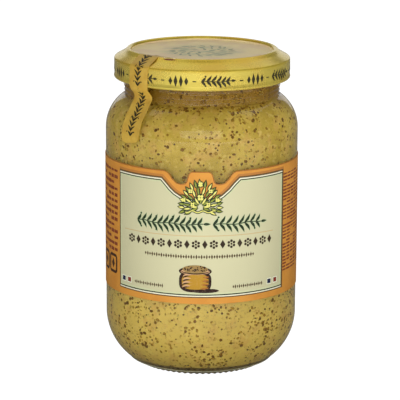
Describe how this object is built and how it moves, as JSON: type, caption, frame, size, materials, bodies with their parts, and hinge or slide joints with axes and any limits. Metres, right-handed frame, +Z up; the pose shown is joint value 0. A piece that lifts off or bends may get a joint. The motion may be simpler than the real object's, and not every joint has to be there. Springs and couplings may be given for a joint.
{
  "type": "mustard jar",
  "caption": "Shut clear glass jar filled with whole-grain mustard, with a gold twist-off lid, a wrapped paper label and a paper seal strip over the lid.",
  "frame": {"origin": "middle of the foot ring, on the surface that the jar stands on", "axes": "+Z up along the jar's axis; the label's middle faces -Y"},
  "size_m": [0.0734, 0.0734, 0.1218],
  "materials": {
    "glass": "clear soda-lime glass",
    "mustard": "moist yellow paste with ground seed and dark husk",
    "gold_lacquer": "gold lacquered tinplate",
    "label_paper": "satin printed paper",
    "strip_paper": "gold-toned printed paper"
  },
  "bodies": {
    "root": {"jar_glass": "glass", "mustard": "mustard", "lid": "gold_lacquer", "label": "label_paper", "seal_strip": "strip_paper"}
  },
  "joints": []
}
